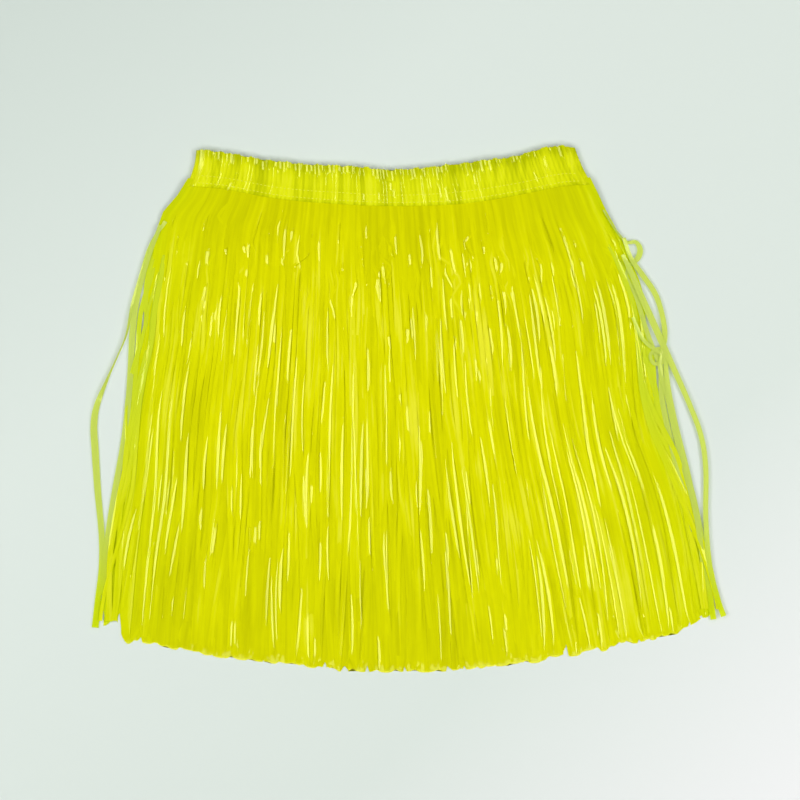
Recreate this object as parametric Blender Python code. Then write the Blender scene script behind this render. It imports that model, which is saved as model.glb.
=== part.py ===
"""A grass skirt of slit plastic film, laid flat with its front up.

The skirt lies on the plane z = 0 with its waist towards +Y and its hem towards -Y. A gathered
waistband, laid flat, carries four layers of strands: two at the front and two at the back.
All sizes below are in millimetres and are turned into metres when a mesh is made.
"""
import math

import bpy

MM = 0.001

# The waistband's rows, from its frilled top edge down to its seam. left and right are the folds
# at its ends, gather is how far the gathers swell, and lift raises the middle of the wall.
BAND_ROWS = [
    dict(down=0.00, left=-166.4, right=131.1, gather=1.10, lift=-0.3),
    dict(down=0.15, left=-168.0, right=133.6, gather=1.20, lift=0.1),
    dict(down=0.32, left=-169.5, right=136.4, gather=0.55, lift=0.3),
    dict(down=0.58, left=-171.4, right=139.4, gather=0.95, lift=0.5),
    dict(down=0.80, left=-173.2, right=142.0, gather=0.45, lift=0.2),
    dict(down=1.00, left=-175.1, right=144.4, gather=0.60, lift=0.0),
]

# Where the band's top edge and its seam lie, across from its left end to its right end.
BAND_CURVE = [
    dict(across=0.00, top=203.0, seam=175.0),
    dict(across=0.08, top=200.5, seam=173.0),
    dict(across=0.22, top=193.5, seam=165.0),
    dict(across=0.38, top=190.5, seam=160.5),
    dict(across=0.54, top=187.5, seam=159.0),
    dict(across=0.70, top=192.5, seam=161.5),
    dict(across=0.84, top=198.0, seam=169.0),
    dict(across=0.94, top=205.5, seam=175.0),
    dict(across=1.00, top=205.0, seam=176.0),
]

# The flattened band: its wall, the height of its front, and the height and reach of its end folds.
BAND_WALL = 1.8
BAND_FRONT = 5.6
BAND_FOLD = 2.9
BAND_FOLD_REACH = 4.0
FOLD_STEPS = 3
BACK_COLUMNS = 24

# The gathers: their count, how much their heights differ, and how far each strays sideways on its
# way down. The frill's ruffle is the up and down of the top edge, which dies out below it.
GATHERS = 48
GATHER_UNEVEN = 0.28
GATHER_STRAY = 0.6
FRILL_RUFFLE = 0.7
FRILL_UNEVEN = 0.8
FRILL_FALLOFF = 3

# One gather: a broad puff between two sharp creases.
GATHER_SHAPE = [
    dict(along=0.00, height=-1.00),
    dict(along=0.27, height=0.45),
    dict(along=0.50, height=1.00),
    dict(along=0.73, height=0.45),
]

# How the gathers crowd together here and there, as shares of the band's length.
GATHER_CROWDS = [
    dict(waves=5, reach=0.0035),
    dict(waves=17, reach=0.0012),
]

# The sides of the body of strands, from the seam (0) down to the hem (1).
SIDES = [
    dict(down=0.00, left=-175.1, right=144.4),
    dict(down=0.08, left=-193.1, right=157.8),
    dict(down=0.15, left=-203.3, right=165.6),
    dict(down=0.26, left=-210.4, right=182.1),
    dict(down=0.46, left=-219.0, right=195.5),
    dict(down=0.67, left=-223.7, right=219.0),
    dict(down=0.84, left=-237.0, right=232.4),
    dict(down=1.00, left=-243.0, right=243.0),
]

# The hem's line, across from the left side to the right side.
HEM = [
    dict(across=0.00, level=-166.0),
    dict(across=0.05, level=-179.5),
    dict(across=0.16, level=-191.5),
    dict(across=0.30, level=-200.0),
    dict(across=0.48, level=-206.5),
    dict(across=0.62, level=-203.5),
    dict(across=0.75, level=-194.5),
    dict(across=0.86, level=-183.0),
    dict(across=0.95, level=-173.0),
    dict(across=1.00, level=-160.0),
]

# How the strands sway sideways together: waves across and down the layer, and their reach.
# SWAY_SHIFT sets each layer's waves beside those of the layer below.
SWAYS = [
    dict(across=2.3, down=0.9, reach=2.6),
    dict(across=5.1, down=-1.3, reach=1.4),
]
SWAY_SHIFT = 0.23
SIDE_SHARPNESS = 1.5

# How neighbouring strands draw together in clumps: waves across the layer, and their strength,
# which grows from the waist to the hem and dies out at the sides.
CLUMPS = [
    dict(waves=9, strength=0.20),
    dict(waves=17, strength=0.16),
    dict(waves=4, strength=0.10),
]
CLUMP_AT_WAIST = 0.25
CLUMP_SHIFT = 0.37
CLUMP_LEAN = 0.8
CLUMP_FADE = 0.03

# The loose strands at the two sides: how far out of the body each lies on its way down.
LOOSE_LEFT_LONG = [
    dict(down=0.00, out=0.0),
    dict(down=0.12, out=2.5),
    dict(down=0.31, out=6.0),
    dict(down=0.40, out=12.0),
    dict(down=0.50, out=25.0),
    dict(down=0.57, out=27.5),
    dict(down=0.67, out=22.5),
    dict(down=0.74, out=13.5),
    dict(down=0.83, out=4.5),
    dict(down=1.00, out=2.5),
]
LOOSE_LEFT_SHORT = [
    dict(down=0.00, out=0.0),
    dict(down=0.10, out=2.0),
    dict(down=0.24, out=4.7),
    dict(down=0.36, out=3.2),
    dict(down=0.50, out=1.2),
    dict(down=0.75, out=0.8),
    dict(down=0.98, out=0.0),
]
LOOSE_RIGHT_LONG = [
    dict(down=0.00, out=0.0),
    dict(down=0.10, out=3.5),
    dict(down=0.18, out=10.0),
    dict(down=0.27, out=14.0),
    dict(down=0.37, out=13.0),
    dict(down=0.45, out=14.5),
    dict(down=0.53, out=19.5),
    dict(down=0.60, out=20.0),
    dict(down=0.68, out=13.5),
    dict(down=0.84, out=5.0),
    dict(down=1.00, out=3.5),
]
LOOSE_RIGHT_SHORT = [
    dict(down=0.00, out=0.0),
    dict(down=0.10, out=2.5),
    dict(down=0.20, out=6.0),
    dict(down=0.32, out=8.0),
    dict(down=0.44, out=6.0),
    dict(down=0.60, out=7.5),
    dict(down=0.78, out=3.0),
    dict(down=1.00, out=1.0),
]

# The four layers of strands, from the surface up.
LAYERS = [
    dict(
        name="strands_back_outer", strands=62, level=0, inset=1.5, shorter=0.0,
        drops=(0.0, 0.07, 0.18, 0.42, 0.72, 1.0), left=None, right=None,
    ),
    dict(
        name="strands_back_inner", strands=42, level=1, inset=5.0, shorter=5.0,
        drops=(0.0, 0.09, 0.28, 0.62, 1.0), left=None, right=None,
    ),
    dict(
        name="strands_front_inner", strands=46, level=2, inset=4.0, shorter=4.0,
        drops=(0.0, 0.09, 0.28, 0.62, 1.0), left=LOOSE_LEFT_SHORT, right=LOOSE_RIGHT_SHORT,
    ),
    dict(
        name="strands_front_outer", strands=66, level=3, inset=0.0, shorter=0.0,
        drops=(0.0, 0.07, 0.18, 0.42, 0.72, 1.0), left=LOOSE_LEFT_LONG, right=LOOSE_RIGHT_LONG,
    ),
]

# The heading is the narrow strip that a layer's strands hang from, just below the band's seam.
HEADING_GAP = 0.3
HEADING_HEIGHT = 4.0
HEADING_THICKNESS = 1.2

# How the layers lie on one another: the step from one to the next, which swells in the middle of
# the skirt, more so towards the waist.
LAYER_STEP = 1.8
LAYER_STEP_HEM = 1.65
LAYER_SWELL = 1.0
SWELL_LEAN = 0.6
SWELL_FLATNESS = 4
FLOOR_CLEARANCE = 0.35

# One strand: its thickness, how much of its place it fills, and how it lifts and tilts in the room
# of its layer. The lift is drawn anew LIFT_STRETCHES times on its way down, the tilt more seldom.
STRAND_THICKNESS = 1.0
STRAND_SHARE = 0.90
STRAND_GAP = 0.45
STRAND_CLEARANCE = 0.3
LIFT_EASE = 6.0
LIFT_STRETCHES = 20
TILT_STRETCHES = 5
TIP_SHARE = 0.72
TIP_FROM = 0.99

# A loose strand: its width, how fast it narrows to it, how far out it is still on its layer, and
# over what distance it drops to the surface.
LOOSE_WIDTH = 4.2
LOOSE_NARROWING = 8.0
LOOSE_FREE = 9.0
LOOSE_DROP = 8.0

# The hem's scallops and raggedness.
HEM_SCALLOP = 2.2
HEM_SCALLOPS = 23
HEM_SWELLS = 7.3
HEM_RAGGED = 2.0
HEM_SHORTER_UNEVEN = 0.5

# Which of the uneven numbers each feature draws, and the strides of the rule that makes them.
SALTS = dict(height=1, stray=2, frill=3, ragged=5, shorter=9, lift=11, tilt=31)

UNEVEN_STEP = 12.9898
UNEVEN_SALT = 78.233
UNEVEN_REACH = 43758.5453

SMOOTH_ANGLE = 35
FILM_YELLOW = (0.68, 0.70, 0.006)
FILM_YELLOW_DEEP = (0.60, 0.62, 0.004)
BAND_YELLOW = (0.66, 0.71, 0.0065)
FILM_ROUGHNESS = 0.22
BAND_ROUGHNESS = 0.30


def clear_scene():
    for old in list(bpy.data.objects):
        bpy.data.objects.remove(old, do_unlink=True)


def read_table(rows, key, column, at):
    """The value of a column at a place along the key, on a smooth curve through the rows."""
    last = len(rows) - 2
    k = max(i for i in range(last + 1) if i == 0 or rows[i][key] <= at)
    before, low, high, after = rows[max(k - 1, 0)], rows[k], rows[k + 1], rows[min(k + 2, last + 1)]
    span = high[key] - low[key]
    share = min(max((at - low[key]) / span, 0.0), 1.0)
    start = (high[column] - before[column]) / (high[key] - before[key]) * span
    end = (after[column] - low[column]) / (after[key] - low[key]) * span
    square, cube = share**2, share**3
    return (
        (2 * cube - 3 * square + 1) * low[column]
        + (cube - 2 * square + share) * start
        + (3 * square - 2 * cube) * high[column]
        + (cube - square) * end
    )


def uneven(number, salt):
    """A fixed number from -1 to 1 that jumps about from one whole number to the next."""
    far_out = math.sin(number * UNEVEN_STEP + salt * UNEVEN_SALT) * UNEVEN_REACH
    return 2.0 * (far_out - math.floor(far_out)) - 1.0


def blend(low, high, share):
    return low + (high - low) * share


def film(name, colour, roughness):
    material = bpy.data.materials.new(name)
    material.use_nodes = True
    shader = material.node_tree.nodes["Principled BSDF"]
    shader.inputs["Base Color"].default_value = (*colour, 1.0)
    shader.inputs["Roughness"].default_value = roughness
    shader.inputs["Metallic"].default_value = 0.0
    return material


def new_piece(name, points, faces, material):
    """One closed piece, from points in millimetres."""
    mesh = bpy.data.meshes.new(name)
    mesh.from_pydata([[value * MM for value in point] for point in points], [], faces)
    mesh.materials.append(material)
    mesh.shade_smooth()
    mesh.set_sharp_from_angle(angle=math.radians(SMOOTH_ANGLE))
    piece = bpy.data.objects.new(name, mesh)
    bpy.context.collection.objects.link(piece)
    return piece


def seam_level(x):
    """How high up the body the band's seam lies at x."""
    last = BAND_ROWS[-1]
    across = (x - last["left"]) / (last["right"] - last["left"])
    return read_table(BAND_CURVE, "across", "seam", across)


def gather_columns():
    """The front's columns, as (share across, height of the gather from -1 to 1, its number)."""
    columns = []
    for number in range(GATHERS):
        for part in GATHER_SHAPE:
            even = (number + part["along"]) / GATHERS
            across = even
            for crowd in GATHER_CROWDS:
                across += crowd["reach"] * math.sin(math.tau * crowd["waves"] * even)
            height = part["height"] * (1.0 + GATHER_UNEVEN * uneven(number, SALTS["height"]))
            columns.append((across, height, number))
    columns.append((1.0, GATHER_SHAPE[0]["height"], GATHERS))
    return columns


def band_ring(row, inward):
    """One ring of the band's wall, its outer side or, moved inward by the wall, its inner side."""
    wall = BAND_WALL if inward else 0.0
    left, right = row["left"] + wall, row["right"] - wall
    reach = BAND_FOLD_REACH - wall
    front = BAND_FRONT + row["lift"] - wall
    back = wall
    flat_left, flat_right = left + reach, right - reach
    places = [(left, BAND_FOLD, 0.0, 0)]
    for step in range(1, FOLD_STEPS):
        turn = math.pi / 2 * step / FOLD_STEPS
        z = BAND_FOLD + (front - row["gather"] - BAND_FOLD) * math.sin(turn)
        places.append((flat_left - reach * math.cos(turn), z, 0.0, 0))
    for across, height, number in gather_columns():
        stray = row["gather"] * GATHER_STRAY * uneven(number, SALTS["stray"])
        x = blend(flat_left, flat_right, across) + stray * math.sin(math.pi * across)
        places.append((x, front + row["gather"] * height, height, number))
    for step in range(FOLD_STEPS - 1, 0, -1):
        turn = math.pi / 2 * step / FOLD_STEPS
        z = BAND_FOLD + (front - row["gather"] - BAND_FOLD) * math.sin(turn)
        places.append((flat_right + reach * math.cos(turn), z, 0.0, 0))
    places.append((right, BAND_FOLD, 0.0, 0))
    for step in range(1, FOLD_STEPS):
        turn = math.pi / 2 * step / FOLD_STEPS
        z = BAND_FOLD - (BAND_FOLD - back) * math.sin(turn)
        places.append((flat_right + reach * math.cos(turn), z, 0.0, 0))
    for column in range(BACK_COLUMNS + 1):
        places.append((blend(flat_right, flat_left, column / BACK_COLUMNS), back, 0.0, 0))
    for step in range(FOLD_STEPS - 1, 0, -1):
        turn = math.pi / 2 * step / FOLD_STEPS
        z = BAND_FOLD - (BAND_FOLD - back) * math.sin(turn)
        places.append((flat_left - reach * math.cos(turn), z, 0.0, 0))
    points = []
    for x, z, height, number in places:
        across = min(max((x - row["left"]) / (row["right"] - row["left"]), 0.0), 1.0)
        top = read_table(BAND_CURVE, "across", "top", across)
        seam = read_table(BAND_CURVE, "across", "seam", across)
        frill = (1.0 - row["down"]) ** FRILL_FALLOFF * FRILL_RUFFLE
        ruffle = frill * (height + FRILL_UNEVEN * uneven(number, SALTS["frill"]) * abs(height))
        points.append((x, blend(top, seam, row["down"]) + ruffle, z))
    return points


def waistband(material):
    """The flattened ring of the band, a wall with gathers over its front half."""
    rings = [band_ring(row, inward=False) for row in BAND_ROWS]
    rings += [band_ring(row, inward=True) for row in reversed(BAND_ROWS)]
    around = len(rings[0])
    points = [point for ring in rings for point in ring]
    faces = []
    for r in range(len(rings)):
        below = (r + 1) % len(rings)
        for c in range(around):
            beside = (c + 1) % around
            faces.append((
                r * around + c,
                below * around + c,
                below * around + beside,
                r * around + beside,
            ))
    return new_piece("waistband", points, faces, material)


def clumped(across, down, layer):
    """Shifts a share across, so that neighbouring strands draw together in uneven clumps."""
    grown = blend(CLUMP_AT_WAIST, 1.0, down)
    shift = 0.0
    for clump in CLUMPS:
        waves = clump["waves"]
        turn = math.tau * (waves * across + CLUMP_SHIFT * layer["level"]) + CLUMP_LEAN * down
        shift += clump["strength"] * grown * math.sin(turn) / (math.tau * waves)
    fade = min(across, 1.0 - across, CLUMP_FADE) / CLUMP_FADE
    return across + shift * max(fade, 0.0)


def side_at(down, side, layer):
    inset = layer["inset"] * (1 if side == "left" else -1)
    return read_table(SIDES, "down", side, down) + inset


def strand_x(across, down, layer):
    """Where a line across the layer lies on its way down, between the two sides."""
    near_edge = abs(2 * across - 1) ** SIDE_SHARPNESS
    bent = blend(side_at(down, "left", layer), side_at(down, "right", layer), across)
    root = blend(side_at(0, "left", layer), side_at(0, "right", layer), across)
    tip = blend(side_at(1, "left", layer), side_at(1, "right", layer), across)
    wander = 0.0
    for sway in SWAYS:
        waves = sway["across"] * across + sway["down"] * down + SWAY_SHIFT * layer["level"]
        wander += sway["reach"] * math.sin(math.tau * waves) * math.sin(math.pi * min(down, 0.5))
    return blend(blend(root, tip, down), bent, near_edge) + wander * (1 - near_edge)


def layer_level(across, down, layer):
    """The lowest point of a layer there, and the room for its strands to tilt in."""
    lengthwise = math.sin(math.pi * min(down, 1.0) ** SWELL_LEAN)
    crosswise = 1 - abs(2 * across - 1) ** SWELL_FLATNESS
    swell = LAYER_SWELL * lengthwise * crosswise
    step = blend(LAYER_STEP, LAYER_STEP_HEM, down) + max(swell, 0.0)
    room = step - STRAND_THICKNESS - STRAND_CLEARANCE
    return FLOOR_CLEARANCE + layer["level"] * step, room


def hem_level(across, number, layer):
    scallop = math.sin(math.tau * HEM_SCALLOPS * across + layer["level"])
    scallop *= HEM_SCALLOP * math.sin(math.tau * HEM_SWELLS * across)
    ragged = HEM_RAGGED * uneven(number, SALTS["ragged"] + layer["level"])
    shorter = layer["shorter"] * (1 + HEM_SHORTER_UNEVEN * uneven(number, SALTS["shorter"]))
    return read_table(HEM, "across", "level", across) + scallop + ragged + shorter


def route_of(number, layer):
    """The table of a loose strand's way, or nothing for a strand that stays in its layer."""
    if number == 0:
        return layer["left"]
    if number == layer["strands"] - 1:
        return layer["right"]
    return None


def strand_section(number, down, layer):
    """A strand's middle (x, y), its width, and the heights of its left and right lower corners."""
    count = layer["strands"]
    edges = [clumped(min(max(side / count, 0.0), 1.0), down, layer) for side in (number, number + 1)]
    middle = (edges[0] + edges[1]) / 2
    low_x, high_x = (strand_x(edge, down, layer) for edge in edges)
    pitch = high_x - low_x
    width = min(pitch * STRAND_SHARE, pitch - STRAND_GAP)
    if down > TIP_FROM:
        width *= TIP_SHARE
    x = (low_x + high_x) / 2
    route = route_of(number, layer)
    z, room = layer_level(middle, down, layer)
    if route:
        out = read_table(route, "down", "out", down)
        away = min(max((out - LOOSE_FREE) / LOOSE_DROP, 0.0), 1.0)
        x += -out if number == 0 else out
        width = blend(width, min(LOOSE_WIDTH, width), min(down * LOOSE_NARROWING, 1.0))
        z = blend(z, FLOOR_CLEARANCE, away)
    seam = seam_level(strand_x(middle, 0.0, layer)) - HEADING_GAP - HEADING_HEIGHT
    y = blend(seam, hem_level(middle, number, layer), down)
    if down == 0.0:
        return x, y, width, 0.0, 0.0
    half_room = room / 2 * min(down * LIFT_EASE, 1.0)
    drawn = uneven(number, SALTS["lift"] + round(down * LIFT_STRETCHES))
    lift = half_room * (1 + drawn) / 2
    tilt = half_room * uneven(number, SALTS["tilt"] + round(down * TILT_STRETCHES))
    left_z, right_z = z + lift + max(tilt, 0.0), z + lift + max(-tilt, 0.0)
    return x, y, width, left_z, right_z


def strand_layer(layer, material):
    """A narrow heading strip with its strands, made as one closed comb."""
    count = layer["strands"]
    points, faces = [], []
    bottom = layer["level"] * LAYER_STEP
    top = bottom + HEADING_THICKNESS
    roots = [strand_section(number, 0.0, layer) for number in range(count)]
    columns = []
    for x, _, width, _, _ in roots:
        for edge in (x - width / 2, x + width / 2):
            upper = seam_level(edge) - HEADING_GAP
            lower = upper - HEADING_HEIGHT
            columns.append(len(points))
            points += [
                (edge, upper, top), (edge, upper, bottom), (edge, lower, top), (edge, lower, bottom),
            ]
    for here, beside in zip(columns, columns[1:]):
        faces.append((here, here + 2, beside + 2, beside))
        faces.append((here + 1, beside + 1, beside + 3, here + 3))
        faces.append((here, beside, beside + 1, here + 1))
    first, last = columns[0], columns[-1]
    faces.append((first, first + 1, first + 3, first + 2))
    faces.append((last, last + 2, last + 3, last + 1))
    for here, beside in zip(columns[1::2], columns[2::2]):
        faces.append((here + 2, here + 3, beside + 3, beside + 2))
    for number in range(count):
        left, right = columns[2 * number], columns[2 * number + 1]
        ring = (left + 2, right + 2, right + 3, left + 3)
        route = route_of(number, layer)
        drops = [row["down"] for row in route] if route else layer["drops"]
        for down in drops[1:]:
            x, y, width, left_z, right_z = strand_section(number, down, layer)
            start = len(points)
            points += [
                (x - width / 2, y, left_z + STRAND_THICKNESS),
                (x + width / 2, y, right_z + STRAND_THICKNESS),
                (x + width / 2, y, right_z),
                (x - width / 2, y, left_z),
            ]
            new_ring = tuple(range(start, start + 4))
            for side in range(4):
                after = (side + 1) % 4
                faces.append((ring[side], new_ring[side], new_ring[after], ring[after]))
            ring = new_ring
        faces.append(tuple(reversed(ring)))
    return new_piece(layer["name"], points, faces, material)


def centre_over_origin(pieces):
    """Moves the whole skirt so that the middle of its box lies over the origin."""
    corners = [vertex.co for piece in pieces for vertex in piece.data.vertices]
    for axis in (0, 1):
        middle = (min(c[axis] for c in corners) + max(c[axis] for c in corners)) / 2
        for corner in corners:
            corner[axis] -= middle


clear_scene()
skirt = [waistband(film("band film", BAND_YELLOW, BAND_ROUGHNESS))]
for layer in LAYERS:
    colour = FILM_YELLOW if layer["level"] in (0, 3) else FILM_YELLOW_DEEP
    skirt.append(strand_layer(layer, film(layer["name"] + " film", colour, FILM_ROUGHNESS)))
centre_over_origin(skirt)
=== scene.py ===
"""A grass skirt of slit yellow film, laid flat on a pale surface and seen from straight above."""
import math

import bpy
import numpy as np
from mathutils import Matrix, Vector
from mathutils.bvhtree import BVHTree


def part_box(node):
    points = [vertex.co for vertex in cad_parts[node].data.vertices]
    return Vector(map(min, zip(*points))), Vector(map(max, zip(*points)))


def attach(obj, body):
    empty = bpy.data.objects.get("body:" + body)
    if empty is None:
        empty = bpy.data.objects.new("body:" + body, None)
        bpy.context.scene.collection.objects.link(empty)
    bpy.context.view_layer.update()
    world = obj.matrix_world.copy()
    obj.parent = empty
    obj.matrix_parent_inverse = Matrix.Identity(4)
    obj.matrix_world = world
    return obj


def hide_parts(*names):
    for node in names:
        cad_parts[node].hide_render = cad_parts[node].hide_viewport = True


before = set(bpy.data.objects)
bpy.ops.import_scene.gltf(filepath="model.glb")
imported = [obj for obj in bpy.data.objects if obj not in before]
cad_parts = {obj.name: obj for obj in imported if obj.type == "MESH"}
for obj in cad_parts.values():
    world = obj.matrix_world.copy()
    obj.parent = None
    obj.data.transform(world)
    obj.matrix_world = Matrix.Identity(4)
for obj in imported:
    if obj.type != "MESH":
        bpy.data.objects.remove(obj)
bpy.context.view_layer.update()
bpy.ops.object.select_all(action="DESELECT")

# Waistband
# A ring of thin yellow film, gathered over flat elastic and laid flat. Its top edge stands up as a
# narrow frill, and two rows of stitches near its lower edge hold the elastic and the strands.
MM = 0.001
# Sizes are in millimetres. In every table down runs from 0 at the top edge to 1 at the lower one,
# and across from 0 at the left to 1 at the right.
BAND_ROWS = [
    dict(down=0.00, left=-166.0, right=130.8),
    dict(down=0.30, left=-167.0, right=134.0),
    dict(down=0.60, left=-169.2, right=137.8),
    dict(down=0.80, left=-171.4, right=141.0),
    dict(down=1.00, left=-174.6, right=144.4),
]
BAND_CURVE = [
    dict(across=0.00, top=203.0, seam=175.0),
    dict(across=0.08, top=200.5, seam=173.0),
    dict(across=0.22, top=193.5, seam=165.0),
    dict(across=0.38, top=190.5, seam=160.5),
    dict(across=0.54, top=187.5, seam=159.0),
    dict(across=0.70, top=192.5, seam=161.5),
    dict(across=0.84, top=198.0, seam=169.0),
    dict(across=0.94, top=205.5, seam=175.0),
    dict(across=1.00, top=205.0, seam=176.0),
]
# How the gathered film swells on its way down the band: deep is how high its gathers stand, rise
# lifts the whole wall, both in millimetres, and tone is how much brighter the film is there.
BAND_SWELL = [
    dict(down=0.00, deep=0.30, rise=-0.45, tone=-0.34),
    dict(down=0.12, deep=0.24, rise=-0.40, tone=-0.26),
    dict(down=0.24, deep=0.17, rise=-0.32, tone=-0.04),
    dict(down=0.34, deep=0.15, rise=-0.22, tone=0.05),
    dict(down=0.50, deep=0.14, rise=-0.08, tone=0.11),
    dict(down=0.66, deep=0.13, rise=0.0, tone=0.08),
    dict(down=0.80, deep=0.14, rise=-0.05, tone=0.13),
    dict(down=0.93, deep=0.13, rise=-0.20, tone=0.05),
    dict(down=1.00, deep=0.08, rise=-0.38, tone=-0.12),
]
# One gather from crease to crease: a flat flank that can catch a lamp, a top and a steep flank.
GATHER_SHAPE = [
    dict(along=0.00, height=0.00),
    dict(along=0.10, height=0.04),
    dict(along=0.50, height=1.00),
    dict(along=0.68, height=1.04),
    dict(along=0.86, height=0.08),
]
# How many of the gathers glint at some places across the band, near its top, middle and seam.
BAND_GLINTS = [
    dict(across=0.00, top=0.15, middle=0.05, low=0.05),
    dict(across=0.08, top=0.5, middle=0.10, low=0.05),
    dict(across=0.20, top=0.9, middle=0.08, low=0.03),
    dict(across=0.40, top=0.8, middle=0.08, low=0.05),
    dict(across=0.52, top=0.6, middle=0.20, low=0.12),
    dict(across=0.75, top=0.8, middle=0.25, low=0.12),
    dict(across=0.90, top=0.7, middle=0.20, low=0.08),
    dict(across=1.00, top=0.2, middle=0.10, low=0.05),
]
# Where these glints begin on their way down, and how far they reach.
GLINT_PARTS = [
    dict(part="top", lowest=-0.12, highest=0.0, short=0.20, long=0.40),
    dict(part="middle", lowest=0.20, highest=0.55, short=0.25, long=0.45),
    dict(part="low", lowest=0.55, highest=0.78, short=0.18, long=0.30),
]
# The front's gathers, the angle of a flank that glints and how uneven it is, the rows of points
# down the band, the back's gathers, the levels of front, back and side folds, and these folds'
# reach.
FRONT_GATHERS = 98
FLANK_ANGLE = 21.3
FLANK_UNEVEN = 2.2
BAND_STEPS = 44
BACK_GATHERS = 60
BAND_FRONT = 5.9
BAND_BACK = 0.35
BAND_FOLD = 3.0
BAND_FOLD_REACH = 3.6
BAND_FOLD_ANGLES = (15, 35, 60)
BAND_FILM = 0.45
# How uneven the gathers are: their widths and heights beside a plain one's, their tones, how far
# they slant and at what level that turns about. GATHER_FACING is how many more of them are turned
# round at the left than midway.
GATHER_WIDTHS = (0.7, 1.3)
GATHER_HEIGHTS = (0.5, 1.3)
GATHER_SHADE = 0.07
GATHER_SLANT = 0.0035
SLANT_LEVEL = 0.4
GATHER_FACING = 0.35
# How much of BAND_GLINTS shows where glints lie apart, what crowding adds, and how quickly a
# gather is drawn up at the two ends of its glint.
GLINTS_APART = 0.4
GLINTS_CROWDED = 0.8
GLINT_RISE = 3.0
# The gathers die out towards the side folds, over these shares of the band's width, and the front
# comes down there. Between them the front is this uneven, and the back's gathers are this deep and
# have this many points each.
FRONT_EDGE = 0.02
BACK_EDGE = 0.03
EDGE_DROP = 1.2
FRONT_UNEVEN = 0.25
BACK_DEEP = 0.5
BACK_STEPS = 4
# How far the frill's edge rises: unevenly, in small waves of its own and with the gathers.
FRILL = dict(uneven=0.5, waves=0.8, gathers=0.4)
# Painted shade: a gather is painted this much brighter at its crest than down in the crease at its
# foot, and the height that keeps its tone.
PAINTED_CREST_SHADE = 0.16
CREST_MIDDLE = 0.6
# Faces of film that meet at more than this many degrees form a crease.
FILM_CREASE = 13
# Where the band's solid has its left end and its highest point in these sizes.
SOLID_LEFT = -175.1
SOLID_TOP = 206.4

band_low, band_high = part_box("waistband")
SHIFT = np.array([band_low[0] / MM - SOLID_LEFT, band_high[1] / MM - SOLID_TOP])


def column_of(rows, key, column, at):
    """A table's column along its key, on a smooth curve through the rows."""
    places = np.array([row[key] for row in rows], float)
    values = np.array([row[column] for row in rows], float)
    slopes = np.gradient(values, places)
    at = np.clip(np.asarray(at, float), places[0], places[-1])
    k = np.clip(np.searchsorted(places, at, side="right") - 1, 0, len(places) - 2)
    span = places[k + 1] - places[k]
    s = (at - places[k]) / span
    return (
        (2 * s**3 - 3 * s**2 + 1) * values[k]
        + (s**3 - 2 * s**2 + s) * slopes[k] * span
        + (3 * s**2 - 2 * s**3) * values[k + 1]
        + (s**3 - s**2) * slopes[k + 1] * span
    )


def waver(at, chance, waves, falls=0.6, joined=4, faster=0.9, uneven=(0.85, 1.15), gain=1.3):
    """A smooth uneven line from about -1 to 1 along at, made of a few joined waves with chance
    phases. Each wave is faster than the one before it and falls short of its strength."""
    out, strength, total = np.zeros_like(np.asarray(at, float)), 1.0, 0.0
    for k in range(joined):
        rate = waves * (1.0 + faster * k) * chance.uniform(*uneven)
        out = out + strength * np.sin(math.tau * (rate * at + chance.random()))
        total += strength
        strength *= falls
    return out / total * gain


def new_mesh(name, points, faces, smooth_angle=60):
    mesh = bpy.data.meshes.new(name)
    mesh.from_pydata((np.asarray(points) * MM).tolist(), [], faces)
    piece = bpy.data.objects.new(name, mesh)
    bpy.context.collection.objects.link(piece)
    mesh.shade_smooth()
    mesh.set_sharp_from_angle(angle=math.radians(smooth_angle))
    return piece


def mark(piece, grain, tone, alone):
    """Keeps with each point where it lies in the film's grain, how bright it is, and how far the
    film lies there in a single layer."""
    data = piece.data.attributes.new("grain", "FLOAT_VECTOR", "POINT")
    data.data.foreach_set("vector", np.asarray(grain, np.float32).ravel())
    for label, values in (("tone", tone), ("alone", alone)):
        data = piece.data.attributes.new(label, "FLOAT", "POINT")
        data.data.foreach_set("value", np.asarray(values, np.float32))


def group_of(name, inputs, outputs):
    """An empty shader group with named inputs and outputs."""
    group = bpy.data.node_groups.new(name, "ShaderNodeTree")
    for label, kind, value in inputs:
        socket = group.interface.new_socket(label, in_out="INPUT", socket_type=kind)
        if value is not None:
            socket.default_value = value
    for label, kind in outputs:
        group.interface.new_socket(label, in_out="OUTPUT", socket_type=kind)
    return group, group.nodes.new("NodeGroupInput"), group.nodes.new("NodeGroupOutput")


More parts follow.
